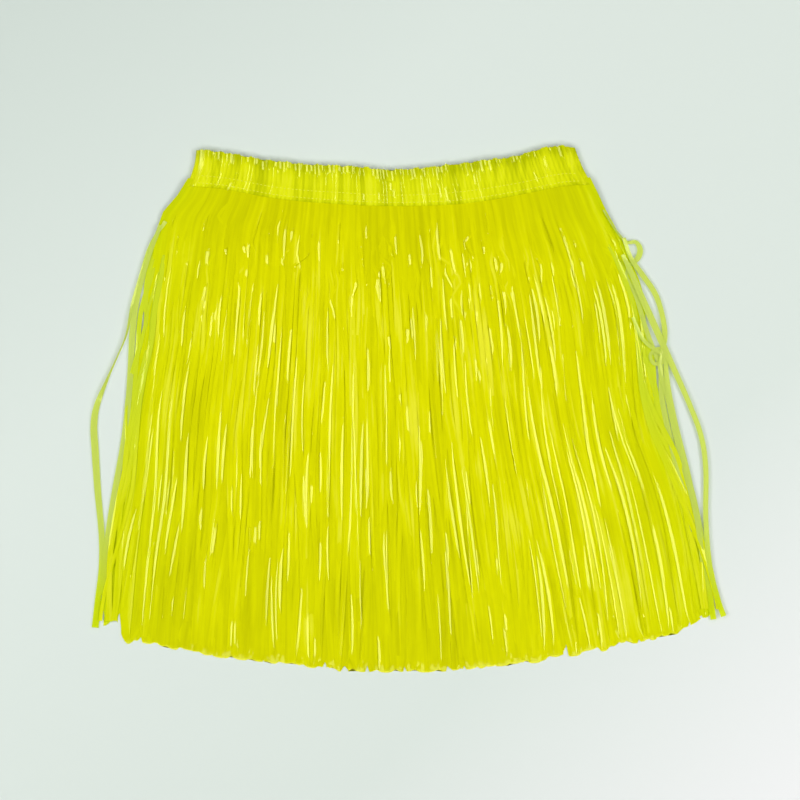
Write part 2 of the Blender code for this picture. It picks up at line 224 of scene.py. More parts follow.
def film_streaks():
    """Soft lengthwise streaks and small crinkles of thin film, from coordinates in metres. The streaks
    are partly layers of film showing through one another and partly painted shade and light of the
    strands' curving.
    """
    group, given, made = group_of(
        "film streaks and crinkles",
        [("Vector", "NodeSocketVector", None), ("Stretch", "NodeSocketFloat", 0.08),
         ("Streak size", "NodeSocketFloat", 420.0), ("Crinkle size", "NodeSocketFloat", 160.0)],
        [("Streaks", "NodeSocketFloat"), ("Crinkles", "NodeSocketFloat")],
    )
    nodes, links = group.nodes, group.links
    flat = nodes.new("ShaderNodeCombineXYZ")
    flat.inputs["X"].default_value = 1.0
    flat.inputs["Z"].default_value = 1.0
    links.new(given.outputs["Stretch"], flat.inputs["Y"])
    drawn = nodes.new("ShaderNodeVectorMath")
    drawn.operation = "MULTIPLY"
    links.new(given.outputs["Vector"], drawn.inputs[0])
    links.new(flat.outputs["Vector"], drawn.inputs[1])
    streaks = nodes.new("ShaderNodeTexNoise")
    streaks.inputs["Detail"].default_value = 3.0
    links.new(drawn.outputs["Vector"], streaks.inputs["Vector"])
    links.new(given.outputs["Streak size"], streaks.inputs["Scale"])
    crinkles = nodes.new("ShaderNodeTexNoise")
    crinkles.inputs["Detail"].default_value = 3.0
    links.new(given.outputs["Vector"], crinkles.inputs["Vector"])
    links.new(given.outputs["Crinkle size"], crinkles.inputs["Scale"])
    links.new(streaks.outputs["Fac"], made.inputs["Streaks"])
    links.new(crinkles.outputs["Fac"], made.inputs["Crinkles"])
    return group


FILM_STREAKS = film_streaks()
# How strongly the streaks, partly painted shade and light, show in the film's tone, and the tint of
# what it and the thread reflect.
STREAKS_SHOW = 1.4
GLARE_TINT = (1.0, 1.0, 0.44, 1.0)


def film_material(name, layered, alone, clear, roughness, crinkle, see_through=0.0):
    """Glossy tinted film. layered lists its colours from deep to pale where it lies in many layers,
    and alone is its colour where a single layer lies over the pale surface. clear is how much of
    the light that it sends on comes out of its far side, and see_through how much of it goes straight
    through."""
    material = bpy.data.materials.new(name)
    material.use_nodes = True
    nodes, links = material.node_tree.nodes, material.node_tree.links
    shader = nodes["Principled BSDF"]
    place = nodes.new("ShaderNodeAttribute")
    place.attribute_name = "grain"
    # Streaks of partly painted shade and light for the colour, and crinkles that only bend the
    # surface.
    streaked = nodes.new("ShaderNodeGroup")
    streaked.node_tree = FILM_STREAKS
    streaked.inputs["Stretch"].default_value = 0.06
    streaked.inputs["Streak size"].default_value = 230.0
    streaked.inputs["Crinkle size"].default_value = 170.0
    links.new(place.outputs["Vector"], streaked.inputs["Vector"])
    tone = nodes.new("ShaderNodeAttribute")
    tone.attribute_name = "tone"
    single = nodes.new("ShaderNodeAttribute")
    single.attribute_name = "alone"
    blend = nodes.new("ShaderNodeMath")
    blend.operation = "MULTIPLY_ADD"
    blend.inputs[1].default_value = STREAKS_SHOW
    links.new(streaked.outputs["Streaks"], blend.inputs[0])
    links.new(tone.outputs["Fac"], blend.inputs[2])
    ramp = nodes.new("ShaderNodeValToRGB")
    stops = ramp.color_ramp.elements
    stops[0].position, stops[1].position = 0.25, 0.85
    stops.new(1.0)
    for stop, shade in zip(stops, layered):
        stop.color = (*shade, 1.0)
    links.new(blend.outputs["Value"], ramp.inputs["Fac"])
    colour = nodes.new("ShaderNodeMix")
    colour.data_type = "RGBA"
    colour.inputs["B"].default_value = (*alone, 1.0)
    links.new(single.outputs["Fac"], colour.inputs["Factor"])
    links.new(ramp.outputs["Color"], colour.inputs["A"])
    links.new(colour.outputs["Result"], shader.inputs["Base Color"])
    bump = nodes.new("ShaderNodeBump")
    bump.inputs["Strength"].default_value = crinkle
    bump.inputs["Distance"].default_value = 0.0006
    links.new(streaked.outputs["Crinkles"], bump.inputs["Height"])
    links.new(bump.outputs["Normal"], shader.inputs["Normal"])
    shader.inputs["Roughness"].default_value = roughness
    shader.inputs["Specular IOR Level"].default_value = 0.75
    shader.inputs["Specular Tint"].default_value = GLARE_TINT
    glow = nodes.new("ShaderNodeBsdfTranslucent")
    links.new(colour.outputs["Result"], glow.inputs["Color"])
    through = nodes.new("ShaderNodeMixShader")
    through.inputs["Fac"].default_value = clear
    links.new(shader.outputs["BSDF"], through.inputs[1])
    links.new(glow.outputs["BSDF"], through.inputs[2])
    if see_through:
        window = nodes.new("ShaderNodeBsdfTransparent")
        window.inputs["Color"].default_value = (0.93, 0.97, 0.40, 1.0)
        thin = nodes.new("ShaderNodeMixShader")
        thin.inputs["Fac"].default_value = see_through
        links.new(through.outputs["Shader"], thin.inputs[1])
        links.new(window.outputs["BSDF"], thin.inputs[2])
        through = thin
    links.new(through.outputs["Shader"], nodes["Material Output"].inputs["Surface"])
    return material


def band_side(down, side):
    return column_of(BAND_ROWS, "down", side, down)


def band_level(across, down):
    top = column_of(BAND_CURVE, "across", "top", across)
    seam = column_of(BAND_CURVE, "across", "seam", across)
    return top + (seam - top) * down


def gather_line(chance):
    """The gathers side by side: places across, each place's height in its gather, that gather's
    number, and the width of its flank as a share of the band."""
    widths = chance.uniform(*GATHER_WIDTHS, FRONT_GATHERS)
    starts = np.concatenate([[0.0], np.cumsum(widths) / widths.sum()])
    flip = chance.random(FRONT_GATHERS) < 0.5 + GATHER_FACING * (1 - 2 * starts[:-1])
    flank = GATHER_SHAPE[2]["along"] - GATHER_SHAPE[1]["along"]
    places, heights, numbers = [], [], []
    for number in range(FRONT_GATHERS):
        shape = [(row["along"], row["height"]) for row in GATHER_SHAPE]
        if flip[number]:
            shape = [shape[0]] + [(1.0 - along, height) for along, height in reversed(shape[1:])]
        for along, height in shape:
            places.append(starts[number] + along * (starts[number + 1] - starts[number]))
            heights.append(height)
            numbers.append(number)
    places.append(1.0)
    heights.append(0.0)
    numbers.append(FRONT_GATHERS - 1)
    flanks = np.diff(starts) * flank
    return np.array(places), np.array(heights), np.array(numbers), flanks


def glinting(down, windows, number):
    """How far the gathers are drawn up at a level: 1 inside a gather's own stretch, else 0."""
    out = np.zeros(len(number))
    for begins, lasts in windows:
        inside = np.clip((down - begins[number]) / lasts[number], 0.0, 1.0)
        out = np.maximum(out, np.clip(np.sin(math.pi * inside) * GLINT_RISE, 0.0, 1.0))
    return out


def waistband():
    chance = np.random.default_rng(11)
    downs = np.linspace(0.0, 1.0, BAND_STEPS + 1)
    front, height, number, flanks = gather_line(chance)
    count = FRONT_GATHERS
    across = np.linspace(0.0, 1.0, count)
    crowded = 0.5 + 0.5 * waver(across, chance, waves=7)
    never = 9.0
    windows = []
    for row in GLINT_PARTS:
        share = column_of(BAND_GLINTS, "across", row["part"], across)
        share = share * (GLINTS_APART + GLINTS_CROWDED * crowded)
        begins = chance.uniform(row["lowest"], row["highest"], count)
        begins = np.where(chance.random(count) < share, begins, never)
        windows.append((begins, chance.uniform(row["short"], row["long"], count)))
    steep = np.radians(chance.normal(FLANK_ANGLE, FLANK_UNEVEN, count))
    drawn_up = np.tan(steep) * flanks * (band_side(0.5, "right") - band_side(0.5, "left"))
    calm = chance.uniform(*GATHER_HEIGHTS, count)
    shade = chance.normal(0.0, GATHER_SHADE, count)
    second = waver(front, chance, waves=5)
    slant = GATHER_SLANT * waver(front, chance, waves=9) * np.sin(math.pi * front)
    edge_waves = waver(front, chance, waves=21)
    frill = FRILL["uneven"] * second + FRILL["waves"] * edge_waves + FRILL["gathers"] * height
    back = np.linspace(1.0, 0.0, BACK_GATHERS * BACK_STEPS + 1)
    back_wave = 0.5 + 0.5 * np.sin(math.tau * BACK_GATHERS * back)
    fold = np.radians(BAND_FOLD_ANGLES)
    gathered = slice(1 + len(fold), 1 + len(fold) + len(front))
    rings, tones = [], []
    for down in downs:
        left, right = band_side(down, "left"), band_side(down, "right")
        deep = column_of(BAND_SWELL, "down", "deep", down)
        rise = column_of(BAND_SWELL, "down", "rise", down)
        tone = column_of(BAND_SWELL, "down", "tone", down)
        low_x, high_x = left + BAND_FOLD_REACH, right - BAND_FOLD_REACH
        edge = np.clip(np.minimum(front, 1 - front) / FRONT_EDGE, 0.0, 1.0)
        lit = glinting(down, windows, number)
        tall = deep * calm[number] * (1 - lit) + drawn_up[number] * lit
        front_x = low_x + (high_x - low_x) * (front + slant * (down - SLANT_LEVEL))
        front_z = BAND_FRONT + rise * edge + (tall * height + FRONT_UNEVEN * second) * edge
        front_z = front_z - EDGE_DROP * (1 - edge) ** 2
        turned_x = BAND_FOLD_REACH * (1 - np.cos(fold))
        up_z = BAND_FOLD + (front_z[0] - BAND_FOLD) * np.sin(fold)
        low_z = BAND_FOLD - (BAND_FOLD - BAND_BACK) * np.sin(fold)
        back_x = low_x + (high_x - low_x) * back
        back_edge = np.clip(np.minimum(back, 1 - back) / BACK_EDGE, 0, 1)
        back_z = BAND_BACK + BACK_DEEP * back_wave * back_edge
        x = np.concatenate([
            [left], left + turned_x, front_x, right - turned_x[::-1], [right],
            right - turned_x, back_x, left + turned_x[::-1],
        ])
        z = np.concatenate([
            [BAND_FOLD], up_z, front_z, up_z[::-1], [BAND_FOLD], low_z, back_z, low_z[::-1],
        ])
        across = np.clip((x - left) / (right - left), 0.0, 1.0)
        lift = np.zeros_like(x)
        lift[gathered] = (1 - down) ** 4 * frill
        y = band_level(across, down) + lift
        rings.append(np.stack([x + SHIFT[0], y + SHIFT[1], z], axis=1))
        shades = np.full(len(x), tone)
        # Each gather's own tone, plus painted shade that darkens its foot and lightens its crest.
        shades[gathered] += shade[number] + PAINTED_CREST_SHADE * (height - CREST_MIDDLE)
        tones.append(shades)
    around = len(rings[0])
    points = np.concatenate(rings)
    faces = []
    for r in range(len(rings) - 1):
        start, below = r * around, (r + 1) * around
        for c in range(around):
            n = (c + 1) % around
            faces.append((start + c, below + c, below + n, start + n))
    band = new_mesh("waistband_film", points, faces, FILM_CREASE)
    mark(band, points * MM, np.concatenate(tones), np.zeros(len(points)))
    walls = band.modifiers.new("film", "SOLIDIFY")
    walls.thickness = BAND_FILM * MM
    walls.offset = -1.0
    bpy.context.view_layer.objects.active = band
    band.select_set(True)
    bpy.ops.object.modifier_apply(modifier="film")
    band.select_set(False)
    band.data.set_sharp_from_angle(angle=math.radians(FILM_CREASE))
    return band


band = waistband()
band.data.materials.append(film_material(
    "waistband film", layered=[(0.58, 0.645, 0.001), (0.90, 0.945, 0.006), (0.94, 0.975, 0.02)],
    alone=(0.50, 0.70, 0.05), clear=0.3, roughness=0.10, crinkle=0.06,
))
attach(band, "root")
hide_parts("waistband")

# Strands
# Thin film, slit into strands that stay joined only under the waistband. Two slit sheets hang at the
# front and two at the back. Most strands lie flat on one another and cling together, and the
# uppermost ones are folded up along one edge here and there, which is what glints.
SIDES = [
    dict(down=0.00, left=-172.9, right=142.4),
    dict(down=0.04, left=-181.5, right=149.5),
    dict(down=0.08, left=-193.0, right=156.0),
    dict(down=0.13, left=-197.6, right=165.5),
    dict(down=0.18, left=-200.2, right=173.0),
    dict(down=0.27, left=-205.7, right=183.0),
    dict(down=0.36, left=-208.6, right=187.4),
    dict(down=0.43, left=-213.5, right=189.6),
    dict(down=0.50, left=-217.5, right=193.0),
    dict(down=0.57, left=-219.8, right=198.8),
    dict(down=0.66, left=-222.9, right=211.0),
    dict(down=0.82, left=-231.4, right=228.0),
    dict(down=1.00, left=-238.2, right=240.0),
]
HEM = [
    dict(across=0.000, level=-168.0),
    dict(across=0.022, level=-168.6),
    dict(across=0.028, level=-177.5),
    dict(across=0.060, level=-181.6),
    dict(across=0.160, level=-191.5),
    dict(across=0.30, level=-200.0),
    dict(across=0.48, level=-206.0),
    dict(across=0.62, level=-203.0),
    dict(across=0.75, level=-194.5),
    dict(across=0.86, level=-183.0),
    dict(across=0.95, level=-173.0),
    dict(across=1.00, level=-161.0),
]
# Where the strands part at the hem, in millimetres: gap is how wide and deep how long the slot is.
PARTINGS = [
    dict(x=-226.5, gap=2.6, deep=22.0),
    dict(x=-210.2, gap=3.2, deep=12.0),
    dict(x=-65.6, gap=3.0, deep=13.0),
    dict(x=-50.0, gap=6.0, deep=12.0),
    dict(x=-32.0, gap=3.6, deep=11.0),
    dict(x=-2.4, gap=3.2, deep=10.0),
    dict(x=31.0, gap=2.4, deep=10.0),
    dict(x=44.5, gap=2.4, deep=11.0),
    dict(x=125.0, gap=2.6, deep=34.0),
    dict(x=181.5, gap=2.6, deep=10.0),
    dict(x=221.0, gap=2.6, deep=10.0),
    dict(x=230.0, gap=2.6, deep=12.0),
]
# How lively the strands are on their way down: bow and turn in degrees, sway in millimetres. tone
# is how much brighter their film is there.
STRAND_LIFE = [
    dict(down=0.00, bow=0.0, turn=0.0, sway=0.0, tone=-0.17),
    dict(down=0.06, bow=1.0, turn=1.0, sway=0.2, tone=-0.10),
    dict(down=0.14, bow=2.0, turn=2.0, sway=0.8, tone=0.03),
    dict(down=0.32, bow=4.0, turn=3.5, sway=2.4, tone=0.08),
    dict(down=0.50, bow=4.0, turn=3.0, sway=2.6, tone=0.07),
    dict(down=0.65, bow=3.0, turn=2.5, sway=2.4, tone=0.02),
    dict(down=0.84, bow=2.0, turn=1.5, sway=1.6, tone=-0.04),
    dict(down=1.00, bow=1.5, turn=1.0, sway=1.2, tone=-0.09),
]
# How long the folded runs of an uppermost strand are, and the bare stretches between them.
FOLDED = [
    dict(down=0.05, bare=88.0, run=18.0),
    dict(down=0.12, bare=44.0, run=20.0),
    dict(down=0.25, bare=44.0, run=48.0),
    dict(down=0.50, bare=44.0, run=84.0),
    dict(down=0.75, bare=48.0, run=78.0),
    dict(down=0.90, bare=50.0, run=54.0),
    dict(down=1.00, bare=54.0, run=38.0),
]
# How much more the film is folded at some places across the skirt, at six levels down it.
GLINT_LEVELS = dict(yoke=0.12, top=0.25, upper=0.40, middle=0.55, lower=0.70, hem=0.88)
GLINTS = [
    dict(across=0.0, yoke=1.5, top=2.0, upper=6.0, middle=3.2, lower=0.2, hem=0.2),
    dict(across=0.1, yoke=1.5, top=0.2, upper=2.2, middle=1.7, lower=0.2, hem=0.4),
    dict(across=0.2, yoke=3.0, top=0.5, upper=2.0, middle=1.5, lower=0.15, hem=0.15),
    dict(across=0.3, yoke=0.8, top=1.2, upper=2.2, middle=0.15, lower=0.4, hem=2.0),
    dict(across=0.4, yoke=0.3, top=1.8, upper=2.6, middle=1.1, lower=0.3, hem=1.3),
    dict(across=0.5, yoke=0.8, top=0.2, upper=0.3, middle=0.15, lower=0.5, hem=1.3),
    dict(across=0.6, yoke=3.2, top=1.0, upper=0.8, middle=0.9, lower=0.7, hem=0.5),
    dict(across=0.7, yoke=2.4, top=0.15, upper=0.3, middle=0.5, lower=0.7, hem=0.15),
    dict(across=0.8, yoke=7.0, top=0.6, upper=3.0, middle=3.6, lower=3.6, hem=1.8),
    dict(across=0.9, yoke=6.0, top=0.2, upper=1.2, middle=2.8, lower=5.6, hem=2.4),
    dict(across=1.0, yoke=2.5, top=2.0, upper=5.6, middle=3.8, lower=4.6, hem=6.0),
]
# A folded edge: its angle in degrees and how uneven that is, its width, and the most that it takes
# of its strand's width. FOLD_MIDDLE is where the flat part beside it has its middle corner.
FOLD_ANGLE = 21.0
FOLD_UNEVEN = 4.0
FOLD_WIDTH = 2.2
FOLD_SHARE = 0.8
FOLD_MIDDLE = 0.45
# The corners of a flat strand's upper face, from edge to edge, as shares of half its width.
SECTION = np.array([-1.0, -0.36, 0.36, 1.0])
STRAND_FILM = 0.16
ROOT_INSIDE = 5.0
LOWEST = 0.3
# How fast the bends of the two sides fade towards the middle of the skirt.
SIDE_FADE = 1.5
# The hem's lobes: how wide and deep they are, how far out of line, the rise that roughly makes up
# for their depth, and how far past the skirt's sides they go on.
LOBE_WIDTHS = (6.0, 19.0)
LOBE_DEPTHS = (1.2, 3.6)
LOBE_OFFSET = 1.0
LOBE_RISE = 1.4
LOBES_BEYOND = 8.0


def side_line(down, side):
    return column_of(SIDES, "down", side, down)


def strand_line(across, down):
    """x of a line across the skirt, the same way as the solids of the strands run."""
    edge = np.abs(2 * across - 1) ** SIDE_FADE
    bent = side_line(down, "left") + (side_line(down, "right") - side_line(down, "left")) * across
    root = side_line(0.0, "left") + (side_line(0.0, "right") - side_line(0.0, "left")) * across
    tip = side_line(1.0, "left") + (side_line(1.0, "right") - side_line(1.0, "left")) * across
    straight = root + (tip - root) * down
    return straight + (bent - straight) * edge


def hem_lobes():
    """The hem's rounded lobes, as a function of x: clumps of strands that were cut together."""
    chance = np.random.default_rng(7)
    ends = [side_line(1.0, "left") - LOBES_BEYOND]
    while ends[-1] < side_line(1.0, "right") + LOBES_BEYOND:
        ends.append(ends[-1] + chance.uniform(*LOBE_WIDTHS))
    ends = np.array(ends)
    depths = chance.uniform(*LOBE_DEPTHS, len(ends))
    offsets = chance.uniform(-LOBE_OFFSET, LOBE_OFFSET, len(ends))

    def lobes(x):
        k = np.clip(np.searchsorted(ends, x) - 1, 0, len(ends) - 2)
        place = (x - ends[k]) / (ends[k + 1] - ends[k])
        return offsets[k] - depths[k] * (1 - np.abs(2 * place - 1) ** 3) + LOBE_RISE

    return lobes


LOBES = hem_lobes()
# Broad patches across the skirt where the film is a little brighter or darker.
PATCH_PLACES = np.linspace(0.0, 1.0, 401)
PATCHES = waver(PATCH_PLACES, np.random.default_rng(2), waves=3.0, falls=0.8)


def hem_at(x):
    left, right = side_line(1.0, "left"), side_line(1.0, "right")
    return column_of(HEM, "across", "level", (x - left) / (right - left)) + LOBES(x)


def parted(x, y, width):
    """x of a strand after it has moved clear of the slots in the hem."""
    tip = x[-1]
    for slot in PARTINGS:
        overlap = (width + slot["gap"]) / 2 - abs(tip - slot["x"])
        if overlap > 0:
            near = np.clip(1 - (y - y[-1]) / slot["deep"], 0.0, 1.0)
            x = x + np.copysign(overlap, tip - slot["x"]) * near
    return x


def strand(points, tops, tone, alone, grain):
    """A closed strand of film. points runs along it, and tops gives for each corner of its upper
    face how far across and how far up it lies."""
    along = np.gradient(points, axis=0)
    along /= np.linalg.norm(along, axis=1)[:, None]
    side = np.cross(along, [0.0, 0.0, 1.0])
    side /= np.linalg.norm(side, axis=1)[:, None]
    up = np.cross(side, along)
    under = [(across, rise - STRAND_FILM) for across, rise in tops[-2:0:-1]]
    ring = [
        points + side * across[:, None] + up * rise[:, None] for across, rise in tops + under
    ]
    grains = [
        np.stack([grain[0] - across, grain[1], np.zeros_like(across)], axis=1)
        for across, rise in tops + under
    ]
    return dict(
        corners=np.stack(ring, axis=1), grain=np.stack(grains, axis=1), tone=tone, alone=alone,
    )


def flat_tops(width, bow, turn):
    half = width / 2
    return [
        (half * place, half * np.tan(bow / 2) * (1 - place**2) + half * place * np.tan(turn))
        for place in SECTION
    ]


def folded_tops(width, turn, fold, angle, facing):
    """A strand with one narrow edge folded up. fold is that edge's width along the strand."""
    flat = width - fold
    starts = [np.zeros_like(flat) - width / 2, flat * FOLD_MIDDLE - width / 2, flat - width / 2]
    tops = [(across, across * np.tan(turn)) for across in starts]
    last_across, last_rise = tops[-1]
    tops.append((last_across + fold * np.cos(angle), last_rise + fold * np.sin(angle)))
    if facing < 0:
        tops = [(-across, rise) for across, rise in reversed(tops)]
    return tops


def joined_strands(name, strands, angle):
    """All the strands as one mesh, each a closed tube of six corners with a face at each end."""
    points, faces, tones, alones, grains, base = [], [], [], [], [], 0
    size = 6
    ring = np.arange(size)
    nxt = (ring + 1) % size
    for one in strands:
        count = len(one["corners"])
        points.append(one["corners"].reshape(-1, 3))
        grains.append(one["grain"].reshape(-1, 3))
        rows = (np.arange(count - 1) * size)[:, None]
        quads = np.stack([rows + ring, rows + nxt, rows + nxt + size, rows + ring + size], axis=2)
        faces += (quads.reshape(-1, 4) + base).tolist()
        faces.append(tuple(base + k for k in reversed(range(size))))
        faces.append(tuple(base + (count - 1) * size + k for k in range(size)))
        tones.append(np.repeat(one["tone"], size))
        alones.append(np.repeat(one["alone"], size))
        base += count * size
    piece = new_mesh(name, np.concatenate(points), faces, angle)
    mark(piece, np.concatenate(grains) * MM, np.concatenate(tones), np.concatenate(alones))
    return piece


# The sheets of strands from the surface up. root, body and hem are the sheet's height at the waist,
# in the middle and at the hem. folded counts the narrow folded strands on top. inset and stray are
# how far in from the sides it keeps, spread is how unevenly it lies, life how lively it is beside
# STRAND_LIFE, and short how far above the hem it ends.
SHEETS = [
    dict(name="back_strands_lower", node="strands_back_outer", flat=110, folded=0, width=8.5,
         steps=22, inset=2.0, root=0.9, body=0.9, hem=0.4, spread=0.2, life=0.4, short=2.4,
         stray=3.0, seed=21),
    dict(name="back_strands_upper", node="strands_back_inner", flat=90, folded=0, width=8.5,
         steps=22, inset=4.0, root=1.9, body=2.6, hem=0.65, spread=0.25, life=0.5, short=4.0,
         stray=3.0, seed=22),
    dict(name="front_strands_under", node="strands_front_inner", flat=110, folded=0, width=9.0,
         steps=26, inset=2.0, root=3.0, body=4.8, hem=1.0, spread=0.3, life=0.5, short=3.2,
         stray=3.0, seed=23),
    dict(name="front_strands_top", node="strands_front_outer", flat=150, folded=112, width=8.6,
         steps=30, inset=0.0, root=4.7, body=7.0, hem=1.8, spread=0.28, life=0.7, short=0.0,
         stray=4.0, seed=24),
]
# A folded strand's width, how far above the flat ones it lies and how unevenly. BODY_SWELL puts the
# skirt's thickest place about a third of the way down.
FOLDED_WIDTH = 4.0
FOLDED_ABOVE = 0.55
FOLDED_SPREAD = 0.45
BODY_SWELL = 0.6
# A folded strand's kink near its top: its size and reach in millimetres.
KINK = 1.2
KINK_REACH = 9.0
# The last of a strand, which comes down to the surface: how far from its end, and how high it still
# is, as a share. TIP_LEVEL is the most that its end lies above the surface.
HEM_TIPS = [
    dict(before=110.0, high=1.0),
    dict(before=80.0, high=0.94),
    dict(before=52.0, high=0.79),
    dict(before=25.0, high=0.44),
    dict(before=1.4, high=0.0),
]
TIP_LEVEL = 0.5
# The tip drops at some angle over its last stretch and ends unevenly, and the rings before it stay
# clear of its end. Its rim is painted brighter, as painted light shining through the film's edge.
TIP_REACH = 1.4
TIP_ANGLES = (2.0, 24.0)
TIP_UNEVEN = 1.0
TIP_CLEAR = 0.5
PAINTED_RIM_GLOW = 0.9
# A folded strand's runs: where the first begins, how uneven runs and bare stretches are beside
# FOLDED's, how strongly GLINTS lengthens a run, the least of GLINTS that counts and how far ahead
# it is read, and how near the hem the last run may begin and end.
FIRST_RUN = (14.0, 105.0)
RUN_UNEVEN = (0.35, 1.6)
BARE_UNEVEN = (0.3, 1.9)
RUN_GROWTH = 0.6
GLINTS_LEAST = 0.15
GLINTS_AHEAD = 0.12
LAST_BEGINS = 8.0
LAST_ENDS = 2.0
# Rings of corners stand just outside and just inside the ends of a run.
RUN_OUTSIDE = 0.8
RUN_INSIDE = 1.2
# A folded edge beside FOLD_WIDTH: its width between runs and along them, how it tapers, and the
# least in millimetres. BULGES is the share of runs that begin with a bulge. FOLD_FACING is how many
# more of the folds face right at the right side than midway.
FOLD_BETWEEN = 0.4
FOLD_WIDTHS = (0.5, 1.15)
FOLD_TAPER = 0.45
FOLD_LEAST = 0.3
BULGES = 0.3
BULGE = 0.9
BULGE_REACH = 4.0
FOLD_FACING = 0.42
# How thin the film lies: in a wide band along the sides, at their very edge and towards the hem.
ALONE_SIDE = dict(most=0.2, reach=90.0, falls=1.4)
ALONE_EDGE = dict(most=0.2, reach=12.0)
ALONE_HEM = dict(most=0.06, begins=0.45, over=0.35)
# How uneven the strands are beside one another: their places, widths, turns and bows, the mean and
# spread of their tones, and where a folded one has its kink.
PLACE_UNEVEN = 0.4
WIDTH_UNEVEN = (0.85, 1.15)
TURN_UNEVEN = (0.3, 1.3)
BOW_UNEVEN = (-0.6, 1.0)
FLAT_TONE = (-0.06, 0.05)
FOLDED_TONE = (0.0, 0.06)
KINK_PLACES = (0.08, 0.20)
KINK_STEPS = np.linspace(-1.6, 1.6, 7)
# A strand's way: how its steps crowd, what share of the skirt it drifts across, how much more a
# folded one sways, how near a side that calms down, and to what least share. WANDER is how far a
# strand at a side strays.
STEP_CROWDING = 0.95
DRIFT = 0.012
FOLDED_SWAY = 1.15
SIDE_CALM = 14.0
CALMEST = 0.1
WANDER = 0.8
# A strand is narrower at its root. From there its width, its spread over those below, the folded
# ones' spread and the flattening at the sides grow at these rates. SIDES_FLATTER is how much
# flatter they lie there.
ROOT_WIDTH = 0.6
WIDEN_RATE = 2.2
SPREAD_RATE = 4
FOLDED_RATE = 3
FLATTEN_RATE = 5
SIDES_FLATTER = 0.8
# How much of a strand's own tone shows at its root and how soon all of it, how much the patches
# add, and how much brighter the film is at the lower right, and from where.
ROOT_TONE = 0.3
TONE_RATE = 4
PATCH_TONE = 0.08
LOWER_RIGHT = dict(tone=0.20, across=0.6, down=0.5, over=0.3)

strand_look = film_material(
    "strand film", layered=[(0.735, 0.735, 0.0003), (0.92, 0.92, 0.001), (0.98, 0.97, 0.04)],
    alone=(0.66, 0.86, 0.008), clear=0.33, roughness=0.07, crinkle=0.05,
)


def fold_runs(length, across, chance):
    """The stretches of a strand, in millimetres from its root, that have a folded edge."""
    lively = [column_of(GLINTS, "across", part, across) for part in GLINT_LEVELS]
    levels = list(GLINT_LEVELS.values())
    runs, at = [], chance.uniform(*FIRST_RUN)
    while at < length - LAST_BEGINS:
        down = at / length
        share = max(np.interp(down, levels, lively), GLINTS_LEAST)
        ahead = max(np.interp(down + GLINTS_AHEAD, levels, lively), GLINTS_LEAST)
        run = column_of(FOLDED, "down", "run", down) * chance.uniform(*RUN_UNEVEN)
        run = run * min(share, ahead) ** RUN_GROWTH
        runs.append((at, min(at + run, length - LAST_ENDS)))
        at += run + column_of(FOLDED, "down", "bare", down) * chance.uniform(*BARE_UNEVEN) / share
    return runs


def film_alone(down, off_side):
    """How thin the film lies on its way down, at a distance in millimetres from its side."""
    wide = np.clip(1 - off_side / ALONE_SIDE["reach"], 0, 1) ** ALONE_SIDE["falls"]
    sides = ALONE_SIDE["most"] * wide
    sides = sides + ALONE_EDGE["most"] * np.clip(1 - off_side / ALONE_EDGE["reach"], 0, 1)
    hem = np.clip((down - ALONE_HEM["begins"]) / ALONE_HEM["over"], 0, 1)
    return np.clip(sides + ALONE_HEM["most"] * hem, 0, 1)


def places_down(sheet, length, runs, kink):
    """Where a strand has its rings of corners, closer together at its tip, its folds and its kink."""
    down = np.linspace(0.0, 1.0, sheet["steps"] + 1) ** STEP_CROWDING
    extra = [1 - row["before"] / length for row in HEM_TIPS]
    for start, end in runs:
        extra += [(start - RUN_OUTSIDE) / length, (start + RUN_INSIDE) / length]
        extra += [(end - RUN_INSIDE) / length, (end + RUN_OUTSIDE) / length]
    if runs:
        extra += list(kink + KINK_STEPS * KINK_REACH / length)
    return np.unique(np.round(np.clip(np.concatenate([down, extra]), 0, 1), 4))


def height_of(sheet, kind, across, down, length, chance):
    """How high a strand lies: over the sheets below it, and in the end down to the surface."""
    rounding = 1 - np.abs(2 * across - 1) ** 4
    swell = np.sin(math.pi * down**BODY_SWELL)
    z = sheet["root"] + (sheet["hem"] - sheet["root"]) * down
    z = z + (sheet["body"] - sheet["root"]) * np.clip(swell, 0, 1) * rounding
    flatter = 1 - np.clip(down * FLATTEN_RATE, 0, 1) * SIDES_FLATTER * (1 - rounding)
    spread = np.clip(down * SPREAD_RATE, 0, 1)
    if kind == "flat":
        z = z * flatter + sheet["spread"] * spread * waver(down, chance, waves=1.2)
    else:
        z = (z + FOLDED_ABOVE * spread) * flatter
        spread = FOLDED_SPREAD * np.clip(down * FOLDED_RATE, 0, 1)
        z = z + spread * np.abs(waver(down, chance, waves=1.6))
    high = np.interp(length * (1 - down), [row["before"] for row in HEM_TIPS[::-1]],
                     [row["high"] for row in HEM_TIPS[::-1]])
    z = min(z[-1], TIP_LEVEL) * (1 - high) + z * high
    z[-1] -= TIP_REACH * math.tan(math.radians(chance.uniform(*TIP_ANGLES)))
    return z


def folded_edge(place, runs, turn, width, chance):
    """How wide a folded strand's edge is along it, and at what angle it stands."""
    angle = turn.copy()
    widest = FOLD_SHARE * width
    fold = np.minimum(np.full_like(place, FOLD_WIDTH * FOLD_BETWEEN), widest)
    for start, end in runs:
        inside = (place >= start) & (place <= end)
        lengthwise = np.clip((place - start) / (end - start), 0.0, 1.0)
        full = FOLD_WIDTH * chance.uniform(*FOLD_WIDTHS) * np.sin(math.pi * lengthwise) ** FOLD_TAPER
        if chance.random() < BULGES:
            full = full * (1 + BULGE * np.exp(-(((place - start) / BULGE_REACH) ** 2)))
        steep = chance.normal(FOLD_ANGLE, FOLD_UNEVEN)
        angle = np.where(inside, np.radians(steep), angle)
        fold = np.where(inside, np.clip(full, FOLD_LEAST, widest), fold)
    return fold, angle


